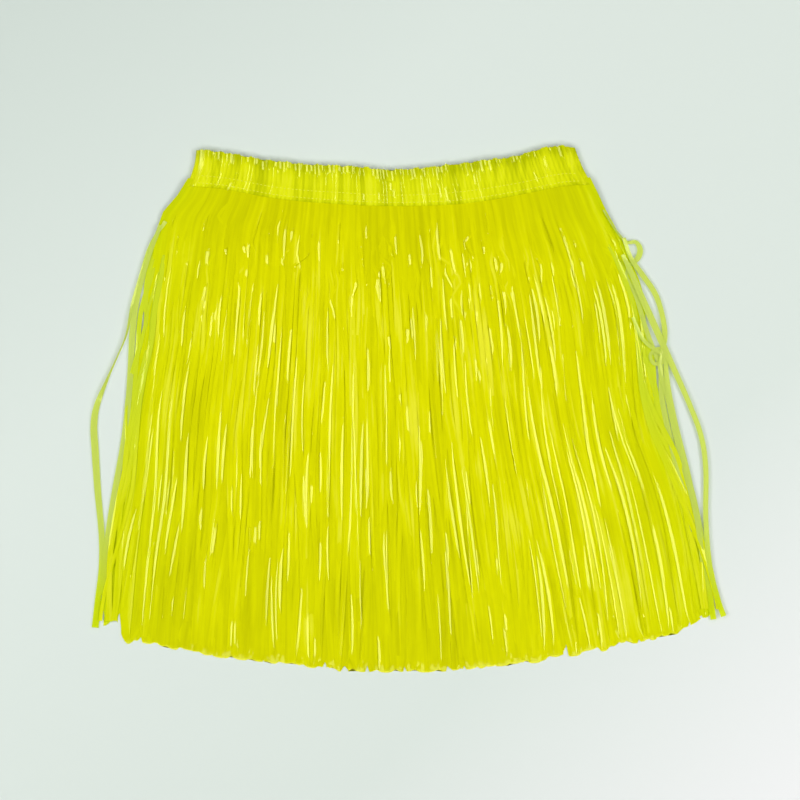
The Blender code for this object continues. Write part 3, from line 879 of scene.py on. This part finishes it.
def tone_of(own, across, drift, down):
    """How bright a strand's film is along it, from its own tone and its place in the skirt, with
    painted light on the rim at its tip.
    """
    tone = own * np.clip(ROOT_TONE + TONE_RATE * down, 0, 1)
    tone = tone + column_of(STRAND_LIFE, "down", "tone", down)
    over = LOWER_RIGHT["over"]
    right = np.clip((across - LOWER_RIGHT["across"]) / over, 0, 1)
    lower = np.clip((down - LOWER_RIGHT["down"]) / over, 0, 1)
    tone = tone + LOWER_RIGHT["tone"] * right * lower
    tone = tone + PATCH_TONE * np.interp(drift, PATCH_PLACES, PATCHES)
    # Painted light: the tip's rim is painted paler, as if lit through the film's edge.
    tone[-1] += PAINTED_RIM_GLOW
    return tone


def sheet_of_strands(sheet):
    chance = np.random.default_rng(sheet["seed"])
    strands = []
    kinds = ["flat"] * sheet["flat"] + ["folded"] * sheet["folded"]
    numbers = list(range(sheet["flat"])) + list(range(sheet["folded"]))
    for kind, number in zip(kinds, numbers):
        across = (number + 0.5 + chance.uniform(-PLACE_UNEVEN, PLACE_UNEVEN)) / sheet[kind]
        seam = column_of(BAND_CURVE, "across", "seam", across) + ROOT_INSIDE
        tip_x = side_line(1.0, "left") * (1 - across) + side_line(1.0, "right") * across
        length = seam - hem_at(tip_x)
        runs = fold_runs(length, across, chance) if kind == "folded" else []
        kink = chance.uniform(*KINK_PLACES)
        down = places_down(sheet, length, runs, kink)
        drift = np.clip(across + DRIFT * waver(down, chance, waves=0.5) * down, 0.0, 1.0)
        left, right = side_line(down, "left"), side_line(down, "right")
        x = strand_line(drift, down) + sheet["inset"] * (1 - 2 * across)
        sway = column_of(STRAND_LIFE, "down", "sway", down)
        sway = sway * (sheet["life"] if kind == "flat" else FOLDED_SWAY)
        inward = np.clip(np.minimum(x - left, right - x) / SIDE_CALM, CALMEST, 1.0)
        waves = waver(down, chance, waves=0.8, falls=0.4)
        x = x + sway * waves * inward
        if kind == "folded":
            turned = (down - kink) * length / KINK_REACH
            x = x + KINK * chance.normal() ** 3 * turned * np.exp(-turned**2) * inward
        narrow = ROOT_WIDTH + (1 - ROOT_WIDTH) * np.clip(down * WIDEN_RATE, 0, 1)
        width = (sheet["width"] if kind == "flat" else FOLDED_WIDTH) * narrow
        width = width * chance.uniform(*WIDTH_UNEVEN)
        half = width / 2
        stray = sheet["stray"] * chance.random() ** 3 + WANDER * waver(down, chance, waves=1.2)
        x = np.clip(x, left + half + stray, right - half - stray)
        tip = hem_at(x[-1]) + sheet["short"]
        y = seam + (tip - seam) * down
        x = parted(x, y, width[-1])
        z = height_of(sheet, kind, across, down, length, chance)
        turn = np.radians(column_of(STRAND_LIFE, "down", "turn", down))
        turn = turn * chance.uniform(*TURN_UNEVEN) * waver(down, chance, waves=1.4)
        z = np.maximum(z, LOWEST + np.tan(np.abs(turn)) * half)
        points = np.stack([x + SHIFT[0], y + SHIFT[1], z], axis=1)
        middle = (side_line(0.5, "right") - side_line(0.5, "left")) * across
        grain = (np.full_like(x, middle), length * down)
        alone = film_alone(down, np.minimum(x - left, right - x))
        if kind == "flat":
            bow = np.radians(column_of(STRAND_LIFE, "down", "bow", down)) * chance.uniform(*BOW_UNEVEN)
            tops = flat_tops(width, bow, turn)
            tone = chance.normal(*FLAT_TONE)
        else:
            fold, angle = folded_edge(down * length, runs, turn, width, chance)
            faces_right = chance.random() < 0.5 + FOLD_FACING * (2 * across - 1)
            tops = folded_tops(width, turn, fold, angle, 1 if faces_right else -1)
            tone = chance.normal(*FOLDED_TONE)
        one = strand(points, tops, tone_of(tone, across, drift, down), alone, grain)
        ends = one["corners"][-1]
        hem = hem_at(ends[:, 0] - SHIFT[0]) + SHIFT[1] + sheet["short"]
        hem = hem + chance.uniform(0.0, TIP_UNEVEN)
        ends[:, 1] = hem
        one["corners"][-3:-1, :, 1] = np.maximum(one["corners"][-3:-1, :, 1], hem + TIP_CLEAR)
        strands.append(one)
    piece = joined_strands(sheet["name"], strands, FILM_CREASE)
    piece.data.materials.append(strand_look)
    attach(piece, "root")
    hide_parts(sheet["node"])
    return piece


sheets = [sheet_of_strands(sheet) for sheet in SHEETS]

# Loose strands
# A few strands of the uppermost sheet have slid off its sides and lie singly on the surface, where
# the thin film shows paler and greener. Each row is a place on a strand's middle line, its width
# there and how many degrees it is turned on edge.
LOOSE_COLUMNS = ("x", "y", "width", "turn")
LOOSE = {
    "far left": [
        (-190.0, 147.0, 3.0, 20),
        (-202.5, 128.0, 2.0, 20),
        (-211.0, 101.0, 2.4, 30),
        (-216.0, 82.0, 3.2, 30),
        (-221.0, 58.0, 2.6, 60),
        (-228.5, 40.0, 2.4, 65),
        (-236.0, 23.0, 3.0, 50),
        (-244.0, 3.0, 4.6, 15),
        (-246.5, -13.0, 5.4, 0),
        (-245.5, -33.0, 5.6, 0),
        (-243.5, -64.0, 5.2, 0),
        (-240.5, -98.0, 4.6, 0),
        (-240.5, -124.0, 4.4, 0),
        (-243.5, -152.0, 5.0, 0),
        (-245.5, -171.5, 5.4, 0),
    ],
    "left edge": [
        (-194.0, 144.0, 3.0, 10),
        (-203.0, 121.0, 3.6, 10),
        (-212.0, 90.0, 4.4, 0),
        (-216.0, 62.0, 4.8, 0),
        (-217.5, 34.0, 4.8, 0),
        (-219.5, 5.0, 4.6, 0),
        (-223.5, -28.0, 4.6, 0),
        (-231.0, -70.0, 4.6, 0),
        (-236.5, -110.0, 4.8, 0),
        (-237.5, -145.0, 5.6, 0),
        (-234.5, -167.0, 6.0, 0),
    ],
    "right loop": [
        (153.0, 156.0, 2.0, 30),
        (163.0, 140.0, 2.0, 40),
        (171.5, 131.0, 2.6, 20),
        (178.5, 131.0, 3.0, 0),
        (182.0, 125.0, 4.4, 0),
        (180.0, 118.0, 4.2, 0),
        (174.0, 112.5, 3.0, 10),
        (172.0, 104.0, 3.0, 0),
        (179.0, 88.0, 3.4, 0),
        (186.0, 65.0, 3.6, 0),
        (192.0, 48.0, 3.8, 0),
        (198.0, 33.0, 4.0, 0),
        (199.0, 10.0, 4.2, 0),
        (204.0, -16.0, 4.4, 0),
        (212.0, -50.0, 4.6, 0),
        (224.0, -96.0, 4.4, 0),
    ],
    "right arch": [
        (169.0, 134.0, 3.0, 20),
        (175.0, 118.0, 3.4, 10),
        (184.0, 105.0, 4.2, 0),
        (194.0, 90.0, 4.2, 0),
        (199.5, 73.0, 4.0, 0),
        (201.5, 57.0, 4.0, 0),
        (199.0, 43.0, 3.6, 15),
        (198.0, 29.0, 3.4, 10),
        (204.0, 8.0, 4.4, 0),
        (212.0, -28.0, 5.0, 0),
        (224.0, -72.0, 5.2, 0),
        (233.0, -118.0, 4.6, 0),
        (239.5, -165.0, 4.6, 0),
    ],
    "right knot": [
        (176.0, 72.0, 2.6, 10),
        (184.0, 55.0, 3.0, 10),
        (193.0, 47.0, 3.0, 0),
        (200.0, 42.0, 3.2, 0),
        (198.5, 36.0, 3.0, 0),
        (192.5, 36.0, 2.8, 10),
        (190.0, 42.0, 2.8, 10),
        (194.5, 47.0, 2.6, 0),
        (201.5, 46.0, 2.6, 0),
        (202.0, 36.0, 3.4, 0),
        (204.0, 16.0, 4.2, 0),
        (210.0, -14.0, 4.6, 0),
        (219.0, -50.0, 4.6, 0),
        (227.0, -88.0, 4.2, 0),
        (231.0, -120.0, 3.6, 0),
    ],
    "far right": [
        (168.0, 121.0, 3.0, 10),
        (174.0, 109.0, 4.2, 0),
        (184.0, 86.0, 5.0, 0),
        (193.0, 66.0, 5.2, 0),
        (201.0, 48.0, 5.0, 0),
        (210.0, 28.0, 4.4, 0),
        (221.0, 3.0, 4.0, 0),
        (230.0, -22.0, 4.0, 0),
        (233.5, -48.0, 4.0, 0),
        (233.5, -86.0, 4.0, 0),
        (236.5, -122.0, 4.0, 0),
        (243.0, -149.0, 4.0, 0),
        (247.5, -162.5, 4.4, 0),
    ],
}
# The thin strands that lie singly along the two edges of the skirt. out is how far out of the edge
# the most wayward of them strays, and width is how wide it is, in millimetres.
EDGE_STRANDS = [
    dict(side="left", strands=9, out=4.5, width=3.8, seed=31),
    dict(side="right", strands=10, out=5.0, width=3.8, seed=32),
]
# Where the edge strands begin, the places of their rings, how they crowd downwards, how far along
# the edge and out of it each one strays, how uneven they are, and their tone.
EDGE_TOP = 170.0
EDGE_PLACES = np.linspace(0.06, 0.99, 60)
EDGE_CROWDING = 0.7
EDGE_REACH = (0.1, 0.25)
EDGE_OUT = (0.2, 1.0)
EDGE_WANDER = 0.8
EDGE_WIDTHS = (0.6, 1.1)
EDGE_TURN = 12.0
EDGE_TONE = 0.2
# From the first of these shares of the way their film isn't single, after a fade over the second.
EDGE_ALONE = (0.75, 0.3)
# How far above the hem they end, how far inside the edge they hide, their level above the surface,
# and how much higher each one lies than the one before.
EDGE_SHORT = 1.0
EDGE_HIDDEN = 7.0
EDGE_LEVEL = 0.8
EDGE_RISE = 0.12
# The loose strands' rings are this far apart. They lie at this level, come down to it from their
# roots, are bowed by so many degrees, and each lies higher than the one before.
LOOSE_STEP = 3.0
LOOSE_LEVEL = 0.9
LOOSE_ROOT_LEVEL = 3.6
LOOSE_BOW = 8.0
LOOSE_APART = 0.35
LOOSE_SETTLES = 14
LOOSE_UNEVEN = 0.3
LOOSE_TONE = 0.3
LOOSE_CREASE = 40
# From this level up their film comes to lie single, over so many millimetres.
LOOSE_ALONE = (-150.0, 60.0)
GRAIN_APART = 20.0


def edge_strands(edge):
    """Single strands that come out of one side of the skirt, stray along it and go back in."""
    chance = np.random.default_rng(edge["seed"])
    outward = -1 if edge["side"] == "left" else 1
    down = EDGE_PLACES
    strands = []
    for number in range(edge["strands"]):
        middle = ((number + chance.random()) / edge["strands"]) ** EDGE_CROWDING
        reach = chance.uniform(*EDGE_REACH)
        strays = np.exp(-(((down - middle) / reach) ** 2))
        out = (EDGE_HIDDEN + edge["out"] * chance.uniform(*EDGE_OUT)) * strays - EDGE_HIDDEN
        side = side_line(down, edge["side"])
        x = side + outward * (out + EDGE_WANDER * waver(down, chance, waves=1.5))
        y = EDGE_TOP + (hem_at(side[-1]) - EDGE_TOP) * down + EDGE_SHORT
        z = EDGE_LEVEL + EDGE_RISE * number + LOOSE_UNEVEN * np.abs(waver(down, chance, waves=2.0))
        width = edge["width"] * chance.uniform(*EDGE_WIDTHS) * np.ones_like(x)
        turn = np.radians(EDGE_TURN) * waver(down, chance, waves=1.5)
        tops = flat_tops(width, np.full_like(x, math.radians(LOOSE_BOW)), turn)
        points = np.stack([x + SHIFT[0], y + SHIFT[1], z + np.abs(turn) * width / 2], axis=1)
        alone = np.clip((EDGE_ALONE[0] - down) / EDGE_ALONE[1], 0.0, 1.0)
        grain = (np.full_like(x, number * GRAIN_APART), -y)
        strands.append(strand(points, tops, np.full_like(x, EDGE_TONE), alone, grain))
    return strands


def loose_piece(name, strands, look):
    piece = joined_strands(name, strands, LOOSE_CREASE)
    piece.data.materials.append(look)
    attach(piece, "root")
    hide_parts("strands_front_outer")
    return piece


def loose_strands():
    chance = np.random.default_rng(3)
    strands = []
    for number, places in enumerate(LOOSE.values()):
        rows = [dict(zip(LOOSE_COLUMNS, row), place=k) for k, row in enumerate(places)]
        xs, ys = [row["x"] for row in rows], [row["y"] for row in rows]
        length = np.hypot(np.diff(xs), np.diff(ys)).sum()
        place = np.linspace(0, len(rows) - 1, int(length / LOOSE_STEP))
        x = column_of(rows, "place", "x", place)
        y = column_of(rows, "place", "y", place)
        width = column_of(rows, "place", "width", place)
        turn = np.radians(column_of(rows, "place", "turn", place))
        down = place / place[-1]
        root = (LOOSE_ROOT_LEVEL - LOOSE_LEVEL) * np.exp(-down * LOOSE_SETTLES)
        z = LOOSE_LEVEL + LOOSE_APART * number + root
        uneven = LOOSE_UNEVEN * np.abs(waver(down, chance, waves=2.0))
        z = z + np.abs(np.sin(turn)) * width / 2 + uneven
        tops = flat_tops(width * np.cos(turn), np.full_like(x, math.radians(LOOSE_BOW)), turn)
        points = np.stack([x + SHIFT[0], y + SHIFT[1], z], axis=1)
        alone = np.clip((y - LOOSE_ALONE[0]) / LOOSE_ALONE[1], 0.0, 1.0)
        grain = (np.full_like(x, number * GRAIN_APART), -y)
        strands.append(strand(points, tops, np.full_like(x, LOOSE_TONE), alone, grain))
    return strands


sheets.append(loose_piece("loose_strands", loose_strands(), film_material(
    "single film", layered=[(0.80, 0.90, 0.01)] * 3, alone=(0.76, 0.86, 0.19),
    clear=0.2, roughness=0.07, crinkle=0.05, see_through=0.42,
)))
at_edges = [one for edge in EDGE_STRANDS for one in edge_strands(edge)]
sheets.append(loose_piece("edge_strands", at_edges, film_material(
    "edge film", layered=[(0.74, 0.79, 0.003), (0.84, 0.89, 0.004), (0.90, 0.93, 0.02)],
    alone=(0.76, 0.87, 0.03), clear=0.2, roughness=0.07, crinkle=0.05, see_through=0.2,
)))

# Stitches
# Two rows of short straight stitches in yellow thread, sewn by machine through the band's front and
# back. They hold the flat elastic in its channel, and the lower row also holds the strands.
STITCH_ROWS = [
    dict(down=0.70, start=0.03, end=0.97),
    dict(down=0.90, start=0.03, end=0.97),
]
STITCH_PITCH = 3.0
STITCH_LENGTH = 1.9
STITCH_THICKNESS = 0.42
STITCH_SIDES = 6
# How a stitch runs: its place along the thread, how far it stands out of the film and how thick.
STITCH_SHAPE = [
    dict(along=-0.50, out=-0.50, thick=0.5),
    dict(along=-0.42, out=-0.05, thick=0.9),
    dict(along=-0.15, out=0.18, thick=1.0),
    dict(along=0.15, out=0.18, thick=1.0),
    dict(along=0.42, out=-0.05, thick=0.9),
    dict(along=0.50, out=-0.50, thick=0.5),
]


def thread_material():
    """Yellow sewing thread, with painted shade that makes it a little darker in the grooves of its
    twist.
    """
    material = bpy.data.materials.new("yellow thread")
    material.use_nodes = True
    nodes, links = material.node_tree.nodes, material.node_tree.links
    shader = nodes["Principled BSDF"]
    shader.inputs["Roughness"].default_value = 0.35
    shader.inputs["Specular IOR Level"].default_value = 0.2
    shader.inputs["Specular Tint"].default_value = GLARE_TINT
    place = nodes.new("ShaderNodeTexCoord")
    twist = nodes.new("ShaderNodeTexWave")
    twist.bands_direction = "DIAGONAL"
    twist.inputs["Scale"].default_value = 900.0
    links.new(place.outputs["Object"], twist.inputs["Vector"])
    # Painted shade: the twist's waves mix a darker yellow into its grooves.
    shades = nodes.new("ShaderNodeMix")
    shades.data_type = "RGBA"
    shades.inputs["A"].default_value = (0.86, 0.89, 0.02, 1.0)
    shades.inputs["B"].default_value = (0.97, 0.98, 0.12, 1.0)
    links.new(twist.outputs["Fac"], shades.inputs["Factor"])
    links.new(shades.outputs["Result"], shader.inputs["Base Color"])
    return material


def stitches():
    film = BVHTree.FromObject(band, bpy.context.evaluated_depsgraph_get())
    above, straight_down = 0.05, Vector((0.0, 0.0, -1.0))
    turns = np.linspace(0.0, math.tau, STITCH_SIDES, endpoint=False)
    points, faces = [], []
    for row in STITCH_ROWS:
        left, right = band_side(row["down"], "left"), band_side(row["down"], "right")
        count = int((right - left) * (row["end"] - row["start"]) / STITCH_PITCH)
        for across in np.linspace(row["start"], row["end"], count):
            middle_x = left + (right - left) * across + SHIFT[0]
            base = len(points)
            for part in STITCH_SHAPE:
                x = middle_x + part["along"] * STITCH_LENGTH
                y = band_level((x - SHIFT[0] - left) / (right - left), row["down"]) + SHIFT[1]
                hit = film.ray_cast(Vector((x * MM, y * MM, above)), straight_down)[0]
                z = hit.z / MM + part["out"] * STITCH_THICKNESS
                radius = part["thick"] * STITCH_THICKNESS / 2
                for turn in turns:
                    points.append((x, y + radius * math.cos(turn), z + radius * math.sin(turn)))
            for ring in range(len(STITCH_SHAPE) - 1):
                for side in range(STITCH_SIDES):
                    here = base + ring * STITCH_SIDES + side
                    beside = base + ring * STITCH_SIDES + (side + 1) % STITCH_SIDES
                    faces.append((here, beside, beside + STITCH_SIDES, here + STITCH_SIDES))
            faces.append(tuple(base + k for k in reversed(range(STITCH_SIDES))))
            faces.append(tuple(len(points) - STITCH_SIDES + k for k in range(STITCH_SIDES)))
    piece = new_mesh("waistband_stitches", points, faces)
    piece.data.materials.append(thread_material())
    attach(piece, "root")
    return piece


sheets.append(stitches())

# Surface, light and camera
# A smooth pale surface, a broad soft lamp past each side, past the waist and past the hem, and a
# camera that looks straight down from high above.
VIEW_MIDDLE = np.array([-6.3, 7.1])
CENTRE = (SHIFT + VIEW_MIDDLE) * MM
FRAME_WIDTH = 0.628
CAMERA_HEIGHT = 2.4
SENSOR = 36.0
FLOOR_SIZE = 6.0
# Painted light and shade: the surface is painted paler towards one corner and darker towards the
# other. These give the way there, and how far its painted shades reach each way.
FLOOR_LEAN = (0.70, -0.70, 0.0)
FLOOR_REACH = 0.45

bpy.ops.mesh.primitive_plane_add(size=FLOOR_SIZE, location=(0, 0, 0))
floor = bpy.context.active_object
floor.name = "floor"
floor_look = bpy.data.materials.new("pale surface")
floor_look.use_nodes = True
floor_shader = floor_look.node_tree.nodes["Principled BSDF"]
floor_nodes, floor_links = floor_look.node_tree.nodes, floor_look.node_tree.links
floor_place = floor_nodes.new("ShaderNodeTexCoord")
floor_lean = floor_nodes.new("ShaderNodeVectorMath")
floor_lean.operation = "DOT_PRODUCT"
floor_lean.inputs[1].default_value = FLOOR_LEAN
floor_links.new(floor_place.outputs["Object"], floor_lean.inputs[0])
floor_span = floor_nodes.new("ShaderNodeMapRange")
floor_span.inputs["From Min"].default_value = -FLOOR_REACH
floor_span.inputs["From Max"].default_value = FLOOR_REACH
floor_links.new(floor_lean.outputs["Value"], floor_span.inputs["Value"])
floor_painted_shades = floor_nodes.new("ShaderNodeValToRGB")
# The painted shades of light and shade on the surface, from its darker corner to its paler one.
FLOOR_PAINTED_SHADES = [
    dict(at=0.0, colour=(0.575, 0.645, 0.595, 1.0)),
    dict(at=0.3, colour=(0.652, 0.720, 0.670, 1.0)),
    dict(at=0.7, colour=(0.645, 0.711, 0.662, 1.0)),
    dict(at=1.0, colour=(0.810, 0.815, 0.815, 1.0)),
]
for shade in FLOOR_PAINTED_SHADES[2:]:
    floor_painted_shades.color_ramp.elements.new(shade["at"])
for stop, shade in zip(floor_painted_shades.color_ramp.elements, FLOOR_PAINTED_SHADES):
    stop.position, stop.color = shade["at"], shade["colour"]
floor_links.new(floor_span.outputs["Result"], floor_painted_shades.inputs["Fac"])
floor_links.new(floor_painted_shades.outputs["Color"], floor_shader.inputs["Base Color"])
floor_shader.inputs["Roughness"].default_value = 0.9
floor_shader.inputs["Specular IOR Level"].default_value = 0.1
floor.data.materials.append(floor_look)

LAMPS = [
    dict(name="left lamp", place=(-1.35, -0.03, 1.45), size=(1.4, 0.65), power=18.8),
    dict(name="right lamp", place=(1.35, -0.03, 1.45), size=(1.4, 0.65), power=18.8),
    dict(name="far lamp", place=(0.0, 1.15, 1.95), size=(2.2, 0.8), power=15.8),
    dict(name="near lamp", place=(0.0, -1.15, 1.95), size=(2.2, 0.8), power=16.8),
]
for lamp in LAMPS:
    bpy.ops.object.light_add(type="AREA", location=lamp["place"])
    light = bpy.context.active_object
    light.name = lamp["name"]
    light.data.shape = "RECTANGLE"
    light.data.size, light.data.size_y = lamp["size"]
    light.data.energy = lamp["power"]
    light.rotation_euler = (-Vector(lamp["place"])).to_track_quat("-Z", "Y").to_euler()

world = bpy.data.worlds.new("studio")
world.use_nodes = True
world.node_tree.nodes["Background"].inputs["Color"].default_value = (0.92, 0.96, 0.94, 1.0)
world.node_tree.nodes["Background"].inputs["Strength"].default_value = 0.02
bpy.context.scene.world = world
bpy.context.scene.view_settings.view_transform = "Standard"

bpy.ops.object.camera_add(location=(CENTRE[0], CENTRE[1], CAMERA_HEIGHT), rotation=(0, 0, 0))
camera = bpy.context.active_object
camera.data.sensor_width = SENSOR
camera.data.lens = SENSOR * CAMERA_HEIGHT / FRAME_WIDTH
camera.data.clip_end = 20.0
bpy.context.scene.camera = camera
